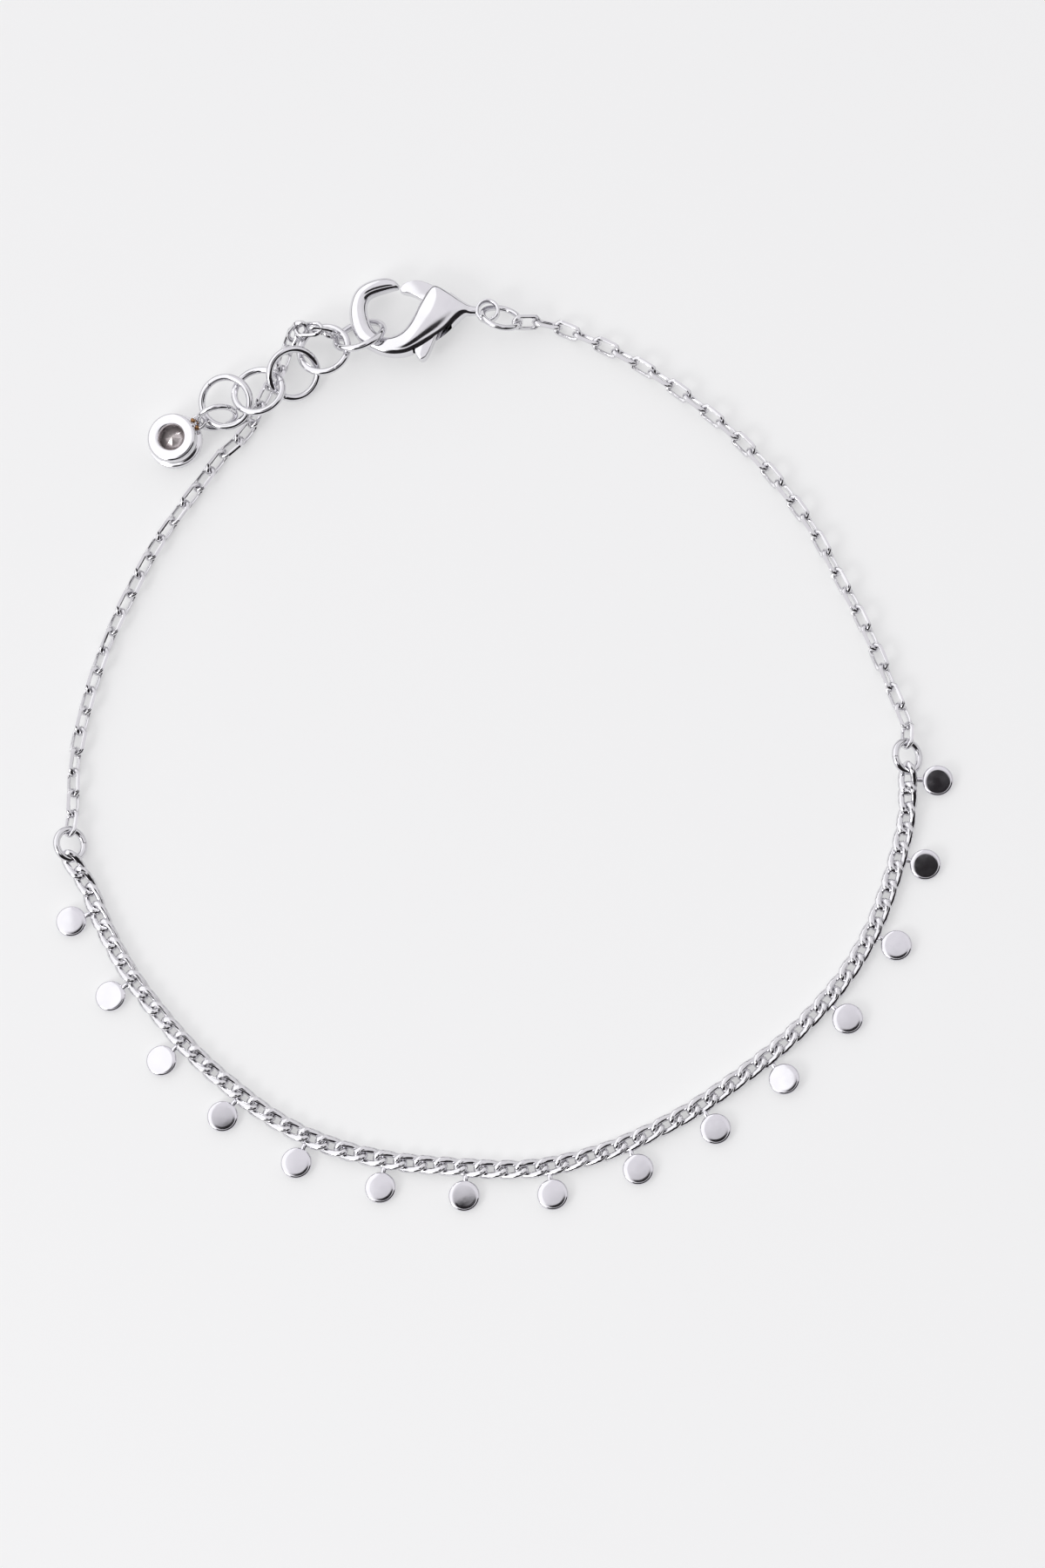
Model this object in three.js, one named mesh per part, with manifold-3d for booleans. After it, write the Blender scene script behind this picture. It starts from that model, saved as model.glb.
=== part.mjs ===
// Coin charm bracelet, fastened in a closed loop and lying flat on a surface.
// Millimetres, +Z up. The origin is under the middle of the loop, on the surface.
// The curb chain with its coins lies towards -Y, the clasp and the extender towards +Y.
import * as THREE from 'three';
import { mergeVertices } from 'three/addons/utils/BufferGeometryUtils.js';
import Module from 'manifold-3d';

const wasm = await Module();
wasm.setup();

// ---------------------------------------------------------------- driving dimensions
const CURB_WIDTH = 1.4;             // curb chain, across its links
const CURB_THICKNESS = 0.8;         // curb chain, from its underside to its top
const CURB_CHAMFER = 0.25;          // rounding of the curb chain's four long edges
const CABLE_DIAMETER = 1.0;         // envelope of the cable chains' crossed links
const CABLE_LIE = 0.52;             // a cable chain's centre line above the surface
const FOOTPRINT_MIDDLE = [-0.2, 0.7]; // of the whole bracelet, in the frame of the routes below

const COIN_DIAMETER = 2.1;
const COIN_THICKNESS = 0.4;
const COIN_EDGE = 0.1;              // polished rounding of a coin's rim
const COIN_OFFSET = 1.9;            // chain centre line to coin centre
const COIN_SPACING = 5.48;          // along the chain, four links
const COIN_FIRST = 3.45;            // along the chain's route to the first coin
const COIN_HEIGHT = 0.42;           // of a coin's neck above the surface
const NECK_WIDTH = 0.36;
const NECK_THICKNESS = 0.26;
const SOLDER_GAP = 0.06;            // between a neck and the chain's envelope

const EXTENDER_RING = { radius: 1.7, wire: 0.5 };   // radius of the wire's centre line
const CURB_RING = { radius: 1.03, wire: 0.5 };
const CLASP_RING = { radius: 1.32, wire: 0.42 };
const DROP_RING = { radius: 1.3, wire: 0.4 };

const CLASP_PIVOT = [-4.57, 30.8, 1.25];            // the lever's hinge, in the clasp's middle plane
const SLOT_THICKNESS = 1.1;
const LEVER_THICKNESS = 0.9;
const PIN_RADIUS = 0.3;
const PIN_HOLE_RADIUS = 0.38;
const EYE = { x: 3.44, y: -0.15, outer: 0.84, inner: 0.6, height: 0.64 };

const DROP_RADIUS = 1.72;
const DROP_RIM_RADIUS = 1.9;
const DROP_HEIGHT = 1.6;
const DROP_PLACE = { x: -22.78, y: 22.2, z: 0.22, lean: 6, high: 22, loopTowards: 31 };
const DROP_LOOP = { radius: 0.44, wire: 0.26, height: 1.0, reach: 2.12 };
const CRYSTAL_RADIUS = 1.2;
const CRYSTAL_BASE = 0.28;          // the stone's table above the cup's front rim

const TUBE_SIDES = 8;
const RING_STEPS = 24;
const DEGREE = Math.PI / 180;

// ---------------------------------------------------------------- routes on the surface
// The curb chain's centre line, from the left jump ring round the front to the right one.
const CURB_ROUTE = [
  [-29.1, -7.65], [-28.4, -9.1], [-27.5, -11.4], [-26.2, -14.0], [-24.8, -16.2], [-22.1, -19.6],
  [-20.0, -21.8], [-18.1, -23.4], [-16.5, -24.7], [-14.3, -26.1], [-11.9, -27.2], [-9.3, -28.0],
  [-6.7, -28.5], [-2.7, -28.9], [0.0, -29.1], [2.5, -29.0], [5.0, -28.5], [7.6, -27.7],
  [10.1, -26.6], [12.4, -25.4], [14.7, -23.9], [16.9, -22.3], [18.9, -20.7], [21.5, -18.1],
  [23.2, -15.9], [24.7, -13.3], [25.7, -10.8], [26.5, -8.2], [27.1, -5.6], [27.3, -2.95],
];

// The right cable chain's centre line, from the clasp's jump ring down to the curb chain.
// A third number is a lift above a lying chain.
const CABLE_RIGHT_ROUTE = [
  [1.45, 30.2, 0.15], [2.7, 29.9], [5.4, 28.8], [8.1, 27.4], [10.7, 25.7], [13.0, 23.9], [15.5, 21.7],
  [17.6, 19.4], [19.5, 16.9], [21.2, 14.3], [22.6, 11.5], [24.0, 8.7], [25.3, 5.7], [26.4, 2.8], [27.2, 0.8],
  [27.3, 0.0, 0.1],
];

// The left cable chain's centre line, from the curb chain up, under the extender's rings,
// then over ring 2 to ring 1.
const CABLE_LEFT_ROUTE = [
  [-29.5, -4.7, 0.1], [-29.5, -3.6], [-29.5, -0.9], [-29.1, 1.8], [-28.4, 4.7], [-27.3, 8.1], [-25.9, 11.2],
  [-24.3, 14.4], [-22.5, 17.1], [-20.8, 19.4], [-19.4, 21.3], [-17.9, 22.6], [-17.2, 24.0], [-16.6, 25.5],
  [-15.9, 26.6], [-15.3, 27.6], [-15.1, 28.4, 0.05], [-15.1, 29.0, 0.25], [-14.7, 29.5, 0.65],
  [-14.1, 29.7, 1.25], [-13.4, 29.65, 1.55], [-12.7, 29.4, 1.55], [-12.1, 29.05, 1.4],
];

// Each coin's tilt in degrees: how far its outer edge drops, and how far it rolls about its neck.
const COIN_TILTS = [
  { drop: 1, roll: -4 }, { drop: 4, roll: 0 }, { drop: 4, roll: 1 }, { drop: 1, roll: -5 },
  { drop: 2, roll: -2 }, { drop: 3, roll: -1 }, { drop: 3.5, roll: -3.5 }, { drop: 3, roll: 0.5 },
  { drop: 3, roll: 1 }, { drop: 3, roll: 1 }, { drop: 0.5, roll: 5.5 }, { drop: 2, roll: 3 },
  { drop: 2, roll: 2 }, { drop: 3, roll: 7.5 }, { drop: 2, roll: 8 },
];

// Jump rings: centre, how far the ring leans out of level, and the bearing of its high side (+X is 0).
const RINGS = [
  { name: 'extender_ring_1', size: EXTENDER_RING, x: -9.97, y: 29.13, z: 1.46, lean: 45, high: -71 },
  { name: 'extender_ring_2', size: EXTENDER_RING, x: -12.45, y: 28.2, z: 1.4, lean: 11, high: -46 },
  { name: 'extender_ring_3', size: EXTENDER_RING, x: -14.55, y: 26.55, z: 1.35, lean: 34, high: 130 },
  { name: 'extender_ring_4', size: EXTENDER_RING, x: -16.95, y: 25.3, z: 1.55, lean: 16, high: -62 },
  { name: 'extender_ring_5', size: EXTENDER_RING, x: -19.24, y: 24.69, z: 1.27, lean: 15.4, high: 67 },
  { name: 'drop_ring', size: DROP_RING, x: -19.82, y: 23.53, z: 1.47, lean: 76, high: 103 },
  { name: 'clasp_ring', size: CLASP_RING, x: -0.17, y: 30.09, z: 1.4, lean: 46, high: -113 },
  { name: 'curb_ring_left', size: CURB_RING, x: -29.6, y: -6.25, z: 0.88, lean: 36, high: 180 },
  { name: 'curb_ring_right', size: CURB_RING, x: 27.2, y: -1.55, z: 0.95, lean: 42, high: 180 },
];

// The clasp's casting as cross sections from the hook's tip round to its neck, from the pivot:
// the section's outer and inner end in the clasp's plane, and its half thickness.
const CLAW_SECTIONS = [
  { outer: [-2.62, 1.88], inner: [-2.72, 1.58], half: 0.26 },
  { outer: [-3.05, 2.30], inner: [-3.05, 1.52], half: 0.46 },
  { outer: [-3.82, 2.46], inner: [-3.78, 1.32], half: 0.56 },
  { outer: [-5.00, 2.15], inner: [-4.45, 1.10], half: 0.60 },
  { outer: [-5.80, 1.45], inner: [-4.80, 0.80], half: 0.60 },
  { outer: [-6.15, 0.20], inner: [-4.90, 0.15], half: 0.60 },
  { outer: [-5.95, -1.15], inner: [-4.62, -0.95], half: 0.60 },
  { outer: [-5.25, -2.30], inner: [-4.15, -1.52], half: 0.61 },
  { outer: [-3.80, -3.15], inner: [-3.50, -1.84], half: 0.66 },
  { outer: [-2.45, -3.28], inner: [-2.62, -1.60], half: 0.76, squareness: 2.4 },
  { outer: [-1.38, -2.95], inner: [-1.90, -0.80], half: 0.84, squareness: 2.4 },
  { outer: [-0.30, -2.38], inner: [-1.18, 0.75], half: 0.88, squareness: 2.4 },
  { outer: [0.67, -1.72], inner: [-0.35, 1.90], half: 0.88, squareness: 2.4 },
  { outer: [1.36, -0.98], inner: [0.68, 1.43], half: 0.80, squareness: 2.3 },
  { outer: [1.92, -0.48], inner: [1.62, 0.70], half: 0.60 },
  { outer: [2.24, -0.46], inner: [2.22, 0.32], half: 0.42 },
  { outer: [2.72, -0.42], inner: [2.72, 0.18], half: 0.3 },
];
const CLAW_SIDES = 16;
const CLAW_SQUARENESS = 2.2;        // exponent of the hook's sections: 2 is an ellipse, more is boxier

// The lever seen along its hinge, from the pivot: gate arm, boss, thumb tab.
const LEVER_OUTLINE = [
  [-2.42, 1.32], [-1.90, 1.18], [-1.28, 0.88], [-0.86, 0.40], [-0.80, -0.30], [-1.15, -1.30],
  [-1.58, -2.60], [-1.50, -3.20], [-1.12, -3.60], [-0.78, -3.42], [-0.38, -2.60], [0.12, -1.30],
  [0.66, -0.45], [0.78, 0.20], [0.66, 0.85], [0.30, 1.38], [-0.42, 1.78], [-1.15, 2.08],
  [-1.80, 2.12], [-2.34, 1.90], [-2.58, 1.62], [-2.62, 1.50],
];

// The slot that the lever swings in, seen the same way. Its left and right walls are the lever's stops.
const SLOT_OUTLINE = [
  [-2.30, 3.2], [-2.30, 1.0], [-1.95, -0.2], [-1.42, -0.75], [-1.68, -2.4], [-1.68, -3.9],
  [1.45, -3.6], [1.02, -1.6], [0.92, -0.3], [0.92, 0.9], [0.75, 3.2],
];

// ---------------------------------------------------------------- finishes
const rhodium = () => new THREE.MeshStandardMaterial({ color: 0xdcdce1, roughness: 0.1, metalness: 1 });
const crystal = () => new THREE.MeshStandardMaterial({ color: 0xe9eef4, roughness: 0.03, metalness: 0 });

// ---------------------------------------------------------------- helpers
const bracelet = new THREE.Group();
bracelet.position.set(-FOOTPRINT_MIDDLE[0], -FOOTPRINT_MIDDLE[1], 0);

function addMesh(name, geometry, material = rhodium(), parent = bracelet) {
  const mesh = new THREE.Mesh(geometry, material);
  mesh.name = name;
  parent.add(mesh);
  return mesh;
}

function solid(geometry) {
  const bare = geometry.clone();
  bare.deleteAttribute('normal');
  bare.deleteAttribute('uv');
  const merged = mergeVertices(bare, 1e-4);
  return new wasm.Manifold(new wasm.Mesh({
    numProp: 3,
    vertProperties: new Float32Array(merged.attributes.position.array),
    triVerts: new Uint32Array(merged.index.array),
  }));
}

function geometryOf(manifold) {
  const mesh = manifold.getMesh();
  const geometry = new THREE.BufferGeometry();
  geometry.setAttribute('position', new THREE.BufferAttribute(mesh.vertProperties, 3));
  geometry.setIndex(new THREE.BufferAttribute(mesh.triVerts, 1));
  geometry.computeVertexNormals();
  return geometry;
}

function outlineShape(points) {
  return new THREE.Shape(points.map(([x, y]) => new THREE.Vector2(x, y)));
}

// A plate of the outline, lying in the XY plane with its middle at z = 0.
function plate(points, thickness) {
  const settings = { depth: thickness, bevelEnabled: false };
  const geometry = new THREE.ExtrudeGeometry(outlineShape(points), settings);
  return geometry.translate(0, 0, -thickness / 2);
}

function upright(radius, height, sides) {
  return new THREE.CylinderGeometry(radius, radius, height, sides).rotateX(Math.PI / 2);
}

function routeCurve(points, height) {
  const route = points.map(([x, y, lift = 0]) => new THREE.Vector3(x, y, height + lift));
  return new THREE.CatmullRomCurve3(route, false, 'centripetal');
}

// A lathe turned about Z from a closed profile of [radius, height] points.
function turned(profile, steps) {
  const points = [...profile, profile[0]].map(([r, z]) => new THREE.Vector2(r, z));
  return new THREE.LatheGeometry(points, steps).rotateX(Math.PI / 2);
}

// Leans an object so that its side at the bearing comes up.
function lean(object, angle, bearing) {
  const t = bearing * DEGREE;
  object.quaternion.setFromAxisAngle(new THREE.Vector3(Math.sin(t), -Math.cos(t), 0), angle * DEGREE);
}

// ---------------------------------------------------------------- chains
function curbSection() {
  const w = CURB_WIDTH / 2;
  const t = CURB_THICKNESS / 2;
  const c = CURB_CHAMFER;
  return outlineShape([
    [-t, -w + c], [-t + c, -w], [t - c, -w], [t, -w + c], [t, w - c], [t - c, w], [-t + c, w], [-t, w - c],
  ]);
}

function roundSection(diameter) {
  const shape = new THREE.Shape();
  for (let i = 0; i < TUBE_SIDES; i += 1) {
    const a = (i + 0.5) * 2 * Math.PI / TUBE_SIDES;
    const corner = diameter / 2 / Math.cos(Math.PI / TUBE_SIDES);
    shape[i ? 'lineTo' : 'moveTo'](corner * Math.cos(a), corner * Math.sin(a));
  }
  return shape;
}

function chainTube(curve, section, steps) {
  return new THREE.ExtrudeGeometry(section, { extrudePath: curve, steps, bevelEnabled: false });
}

function cableTube(route, steps) {
  return chainTube(routeCurve(route, CABLE_LIE), roundSection(CABLE_DIAMETER), steps);
}

const curbCurve = routeCurve(CURB_ROUTE, CURB_THICKNESS / 2);
addMesh('curb_chain', chainTube(curbCurve, curbSection(), 40));
addMesh('cable_chain_left', cableTube(CABLE_LEFT_ROUTE, 44));
addMesh('cable_chain_right', cableTube(CABLE_RIGHT_ROUTE, 30));

// ---------------------------------------------------------------- coins
// Built with the neck's outer end at the origin and the disc along +X.
function coinGeometry() {
  const r = COIN_DIAMETER / 2;
  const t = COIN_THICKNESS / 2;
  const e = COIN_EDGE;
  const neckStart = CURB_WIDTH / 2 + SOLDER_GAP;
  const profile = [[0, -t], [r - e, -t], [r, -t + e], [r, t - e], [r - e, t], [0, t]];
  const points = profile.map(([x, y]) => new THREE.Vector2(x, y));
  const disc = new THREE.LatheGeometry(points, 20);
  disc.rotateX(Math.PI / 2).translate(COIN_OFFSET - neckStart, 0, 0);
  const neckLength = COIN_OFFSET - neckStart - r * 0.9;
  const neck = new THREE.BoxGeometry(neckLength, NECK_WIDTH, NECK_THICKNESS).translate(neckLength / 2, 0, 0);
  return geometryOf(solid(disc).add(solid(neck)));
}

COIN_TILTS.forEach(({ drop, roll }, index) => {
  const along = (COIN_FIRST + index * COIN_SPACING) / curbCurve.getLength();
  const centre = curbCurve.getPointAt(along);
  const tangent = curbCurve.getTangentAt(along);
  const out = new THREE.Vector3(tangent.y, -tangent.x, 0);
  const coin = addMesh(`coin_${String(index + 1).padStart(2, '0')}`, coinGeometry());
  coin.position.copy(centre).addScaledVector(out, CURB_WIDTH / 2 + SOLDER_GAP).setZ(COIN_HEIGHT);
  coin.rotation.set(roll * DEGREE, drop * DEGREE, Math.atan2(out.y, out.x), 'ZYX');
});

// ---------------------------------------------------------------- jump rings
RINGS.forEach(({ name, size, x, y, z, lean: angle, high }) => {
  const ring = addMesh(name, new THREE.TorusGeometry(size.radius, size.wire / 2, TUBE_SIDES, RING_STEPS));
  ring.position.set(x, y, z);
  lean(ring, angle, high);
});

// ---------------------------------------------------------------- clasp
// Skins the claw's rounded sections in order and closes both ends.
function clawGeometry() {
  const positions = [];
  const indices = [];
  CLAW_SECTIONS.forEach(({ outer, inner, half, squareness = CLAW_SQUARENESS }) => {
    const power = (v) => Math.sign(v) * Math.abs(v) ** (2 / squareness);
    const middle = [(outer[0] + inner[0]) / 2, (outer[1] + inner[1]) / 2];
    for (let i = 0; i < CLAW_SIDES; i += 1) {
      const a = i * 2 * Math.PI / CLAW_SIDES;
      const across = power(Math.cos(a));
      positions.push(
        middle[0] + (outer[0] - middle[0]) * across,
        middle[1] + (outer[1] - middle[1]) * across,
        half * power(Math.sin(a)),
      );
    }
  });
  const last = (CLAW_SECTIONS.length - 1) * CLAW_SIDES;
  for (let i = 0; i < CLAW_SIDES; i += 1) {
    const j = (i + 1) % CLAW_SIDES;
    for (let s = 0; s < last; s += CLAW_SIDES) {
      indices.push(s + i, s + CLAW_SIDES + j, s + j, s + i, s + CLAW_SIDES + i, s + CLAW_SIDES + j);
    }
    if (i > 0 && i < CLAW_SIDES - 1) {
      indices.push(0, i, j, last, last + j, last + i);
    }
  }
  const geometry = new THREE.BufferGeometry();
  geometry.setAttribute('position', new THREE.Float32BufferAttribute(positions, 3));
  geometry.setIndex(indices);
  return geometry;
}

function eyeGeometry() {
  const { outer, inner, height } = EYE;
  const soft = (outer - inner) / 3;
  const top = height / 2;
  const profile = [
    [inner, -top + soft], [inner + soft, -top], [outer - soft, -top], [outer, -top + soft],
    [outer, top - soft], [outer - soft, top], [inner + soft, top], [inner, top - soft],
  ];
  return turned(profile, 20).translate(EYE.x, EYE.y, 0);
}

function claspBody() {
  const pin = upright(PIN_RADIUS, SLOT_THICKNESS + 0.4, 16);
  return geometryOf(solid(clawGeometry())
    .add(solid(eyeGeometry()))
    .subtract(solid(upright(EYE.inner, 2, 20).translate(EYE.x, EYE.y, 0)))
    .subtract(solid(plate(SLOT_OUTLINE, SLOT_THICKNESS)))
    .add(solid(pin)));
}

function claspLever() {
  const hole = upright(PIN_HOLE_RADIUS, LEVER_THICKNESS + 1, 16);
  return geometryOf(solid(plate(LEVER_OUTLINE, LEVER_THICKNESS)).subtract(solid(hole)));
}

const clasp = new THREE.Group();
clasp.position.set(...CLASP_PIVOT);
bracelet.add(clasp);
addMesh('clasp_body', claspBody(), rhodium(), clasp);
addMesh('clasp_lever', claspLever(), rhodium(), clasp);

// ---------------------------------------------------------------- end drop
// A bezel cup that lies with its open back up, and a loop soldered to its side.
function dropCup() {
  const R = DROP_RADIUS;
  const rim = DROP_RIM_RADIUS;
  const H = DROP_HEIGHT;
  const profile = [
    [1.18, 0.06], [1.24, 0], [rim - 0.1, 0], [rim, 0.1], [rim, 0.48], [rim - 0.1, 0.58], [R - 0.1, 0.64],
    [R - 0.1, 0.75], [R, 0.85], [R, H - 0.15], [R - 0.12, H], [0.95, H], [0.9, H - 0.08], [0.9, 1.3],
    [1.28, 0.85], [1.28, 0.26], [1.18, 0.2],
  ];
  const { radius, wire, height, reach } = DROP_LOOP;
  const loop = new THREE.TorusGeometry(radius, wire / 2, TUBE_SIDES, 20).translate(reach, 0, height);
  const hollow = upright(1.28, H, 24);
  return geometryOf(solid(loop).subtract(solid(hollow)).add(solid(turned(profile, 24))));
}

// A round brilliant, its table down and its point up in the cup.
function dropCrystal() {
  const r = CRYSTAL_RADIUS;
  const profile = [[0, 0], [0.72 * r, 0], [r, 0.34], [r, 0.4], [0, 1.12]];
  const points = profile.map(([x, y]) => new THREE.Vector2(x, y));
  return new THREE.LatheGeometry(points, 16).rotateX(Math.PI / 2).translate(0, 0, CRYSTAL_BASE);
}

const drop = new THREE.Group();
drop.position.set(DROP_PLACE.x, DROP_PLACE.y, DROP_PLACE.z);
lean(drop, DROP_PLACE.lean, DROP_PLACE.high);
bracelet.add(drop);
const dropTurn = new THREE.Group();
dropTurn.rotation.z = DROP_PLACE.loopTowards * DEGREE;
drop.add(dropTurn);
addMesh('end_drop', dropCup(), rhodium(), dropTurn);
addMesh('drop_crystal', dropCrystal(), crystal(), dropTurn);

export default bracelet;
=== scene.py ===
"""Looks of the coin charm bracelet: a closed loop of fine chain lying on a pale surface.

Sizes are in millimetres in the frame of the routes below, and TO_FRAME takes each finished mesh to
metres in the part's own frame. The curb chain with its coins lies towards -Y, the clasp towards +Y.
"""

import logging
import math
import random
from collections.abc import Sequence
from dataclasses import dataclass, field
from enum import Enum

import bmesh
import bpy
from mathutils import Matrix, Vector


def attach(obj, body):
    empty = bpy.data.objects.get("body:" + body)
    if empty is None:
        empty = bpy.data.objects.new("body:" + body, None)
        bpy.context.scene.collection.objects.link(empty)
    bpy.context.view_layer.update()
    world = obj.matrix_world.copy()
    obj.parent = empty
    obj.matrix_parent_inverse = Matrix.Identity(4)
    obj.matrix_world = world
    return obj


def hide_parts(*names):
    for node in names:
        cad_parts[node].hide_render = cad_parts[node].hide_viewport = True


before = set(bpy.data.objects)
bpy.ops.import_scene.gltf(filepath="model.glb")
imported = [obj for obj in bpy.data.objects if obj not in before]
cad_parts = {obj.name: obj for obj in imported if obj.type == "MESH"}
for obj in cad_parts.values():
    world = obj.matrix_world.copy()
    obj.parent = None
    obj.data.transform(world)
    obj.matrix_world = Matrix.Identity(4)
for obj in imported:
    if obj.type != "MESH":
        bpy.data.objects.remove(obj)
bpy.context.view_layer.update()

Mesh = bmesh.types.BMesh
Pair = tuple[float, float]
Place = tuple[float, float, float]
Colour = tuple[float, float, float, float]     # linear red, green, blue and an alpha of one

LOG = logging.getLogger("bracelet")
MM = 0.001
MERGE_MM = 1e-4               # vertices nearer than this are one
NOISE_RANGE = (0.3, 0.7)      # where most of a noise texture's values lie
FOOTPRINT_MIDDLE = Vector((-0.2, 0.7, 0.0))
TO_FRAME = Matrix.Scale(MM, 4) @ Matrix.Translation(-FOOTPRINT_MIDDLE)
RANDOM = random.Random(5)

CURB_ROUTE = [
    (-29.1, -7.65), (-28.4, -9.1), (-27.5, -11.4), (-26.2, -14.0), (-24.8, -16.2), (-22.1, -19.6),
    (-20.0, -21.8), (-18.1, -23.4), (-16.5, -24.7), (-14.3, -26.1), (-11.9, -27.2), (-9.3, -28.0),
    (-6.7, -28.5), (-2.7, -28.9), (0.0, -29.1), (2.5, -29.0), (5.0, -28.5), (7.6, -27.7),
    (10.1, -26.6), (12.4, -25.4), (14.7, -23.9), (16.9, -22.3), (18.9, -20.7), (21.5, -18.1),
    (23.2, -15.9), (24.7, -13.3), (25.7, -10.8), (26.5, -8.2), (27.1, -5.6), (27.3, -2.95),
]
CABLE_RIGHT_ROUTE = [
    (2.7, 29.9), (5.4, 28.8), (8.1, 27.4), (10.7, 25.7), (13.0, 23.9), (15.5, 21.7), (17.6, 19.4),
    (19.5, 16.9), (21.2, 14.3), (22.6, 11.5), (24.0, 8.7), (25.3, 5.7), (26.4, 2.8), (27.2, 0.8),
]
CABLE_LEFT_ROUTE = [
    (-29.5, -3.6), (-29.5, -0.9), (-29.1, 1.8), (-28.4, 4.7), (-27.3, 8.1), (-25.9, 11.2),
    (-24.3, 14.4), (-22.5, 17.1), (-20.8, 19.4), (-19.4, 21.3), (-17.9, 22.6), (-17.2, 24.0),
    (-16.6, 25.5), (-15.9, 26.6), (-15.3, 27.6), (-15.1, 28.4, 0.05), (-15.1, 29.0, 0.25),
    (-14.7, 29.5, 0.65), (-14.1, 29.7, 1.15), (-13.4, 29.65, 1.4), (-12.7, 29.4, 1.4),
]

CABLE_LIE = 0.52      # height of the cable chains' middle


# ---------------- nodes and finishes
def srgb(code: str) -> Colour:
    """Turns an sRGB hex colour to a linear one.

    Args:
        code: six hex digits.

    Returns:
        Linear red, green, blue and an alpha of one.
    """
    parts = [int(code[i:i + 2], 16) / 255 for i in (0, 2, 4)]
    linear = [c / 12.92 if c <= 0.04045 else ((c + 0.055) / 1.055) ** 2.4 for c in parts]
    return (*linear, 1.0)


def add_node(tree: bpy.types.NodeTree, kind: str, settings: dict | None = None,
             inputs: dict | None = None) -> bpy.types.Node:
    """Adds one node.

    Args:
        tree: the node tree that gets it.
        kind: the node's type name.
        settings: the node's own properties.
        inputs: for each input, a value or the output socket that feeds it.

    Returns:
        The new node.
    """
    node = tree.nodes.new(kind)
    for key, value in (settings or {}).items():
        setattr(node, key, value)
    for key, value in (inputs or {}).items():
        if isinstance(value, bpy.types.NodeSocket):
            tree.links.new(value, node.inputs[key])
        else:
            node.inputs[key].default_value = value
    return node


def new_tree(name: str) -> tuple[bpy.types.Material, bpy.types.NodeTree]:
    """Makes an empty material.

    Args:
        name: the material's name.

    Returns:
        The material and its node tree.
    """
    material = bpy.data.materials.new(name)
    material.use_nodes = True
    material.node_tree.nodes.clear()
    return material, material.node_tree


@dataclass(frozen=True)
class PlatedMetal:
    """A plated and polished metal: mirror-like, with the faint ripple that hand polishing leaves."""

    name: str
    colour: str
    shade: str
    roughness: float
    ripple_mm: float          # spacing of the ripple
    ripple_height_mm: float
    cloud_mm: float = 0.9     # spacing of the plating's slow changes of tint
    wear: Pair = (0.7, 1.4)   # least and most roughness, as parts of the usual one

    def build(self) -> bpy.types.Material:
        """Makes the material on Object coordinates.

        Returns:
            The new material.
        """
        material, tree = new_tree(self.name)
        place = add_node(tree, "ShaderNodeTexCoord").outputs["Object"]
        cloud = add_node(tree, "ShaderNodeTexNoise", inputs={
            "Vector": place, "Scale": 1 / (self.cloud_mm * MM), "Detail": 3.0})
        ripple = add_node(tree, "ShaderNodeTexNoise", inputs={
            "Vector": place, "Scale": 1 / (self.ripple_mm * MM), "Detail": 2.0})
        tint = add_node(tree, "ShaderNodeMix", {"data_type": "RGBA"}, {
            0: cloud.outputs["Fac"], 6: srgb(self.colour), 7: srgb(self.shade)})
        gloss = add_node(tree, "ShaderNodeMapRange", inputs={
            "Value": cloud.outputs["Fac"], "From Min": NOISE_RANGE[0], "From Max": NOISE_RANGE[1],
            "To Min": self.roughness * self.wear[0], "To Max": self.roughness * self.wear[1]})
        relief = add_node(tree, "ShaderNodeBump", inputs={
            "Strength": 1.0, "Distance": self.ripple_height_mm * MM, "Height": ripple.outputs["Fac"]})
        shader = add_node(tree, "ShaderNodeBsdfPrincipled", inputs={
            "Base Color": tint.outputs[2], "Metallic": 1.0, "Roughness": gloss.outputs["Result"],
            "Normal": relief.outputs["Normal"]})
        add_node(tree, "ShaderNodeOutputMaterial", inputs={"Surface": shader.outputs["BSDF"]})
        return material


@dataclass(frozen=True)
class FoiledGlass:
    """A cut glass stone with a foiled back: grey mirror facets under clear lacquer."""

    name: str
    colour: str
    shade: str
    cloud_mm: float = 0.7     # spacing of the worn places in the lacquer
    metallic: float = 0.7
    roughness: float = 0.26
    lacquer: float = 0.12
    lacquer_roughness: float = 0.12

    def build(self) -> bpy.types.Material:
        """Makes the material.

        Returns:
            The new material.
        """
        material, tree = new_tree(self.name)
        place = add_node(tree, "ShaderNodeTexCoord").outputs["Object"]
        cloud = add_node(tree, "ShaderNodeTexNoise", inputs={
            "Vector": place, "Scale": 1 / (self.cloud_mm * MM), "Detail": 2.0})
        tint = add_node(tree, "ShaderNodeMix", {"data_type": "RGBA"}, {
            0: cloud.outputs["Fac"], 6: srgb(self.colour), 7: srgb(self.shade)})
        shader = add_node(tree, "ShaderNodeBsdfPrincipled", inputs={
            "Base Color": tint.outputs[2], "Metallic": self.metallic, "Roughness": self.roughness,
            "Coat Weight": self.lacquer, "Coat Roughness": self.lacquer_roughness})
        add_node(tree, "ShaderNodeOutputMaterial", inputs={"Surface": shader.outputs["BSDF"]})
        return material


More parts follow.
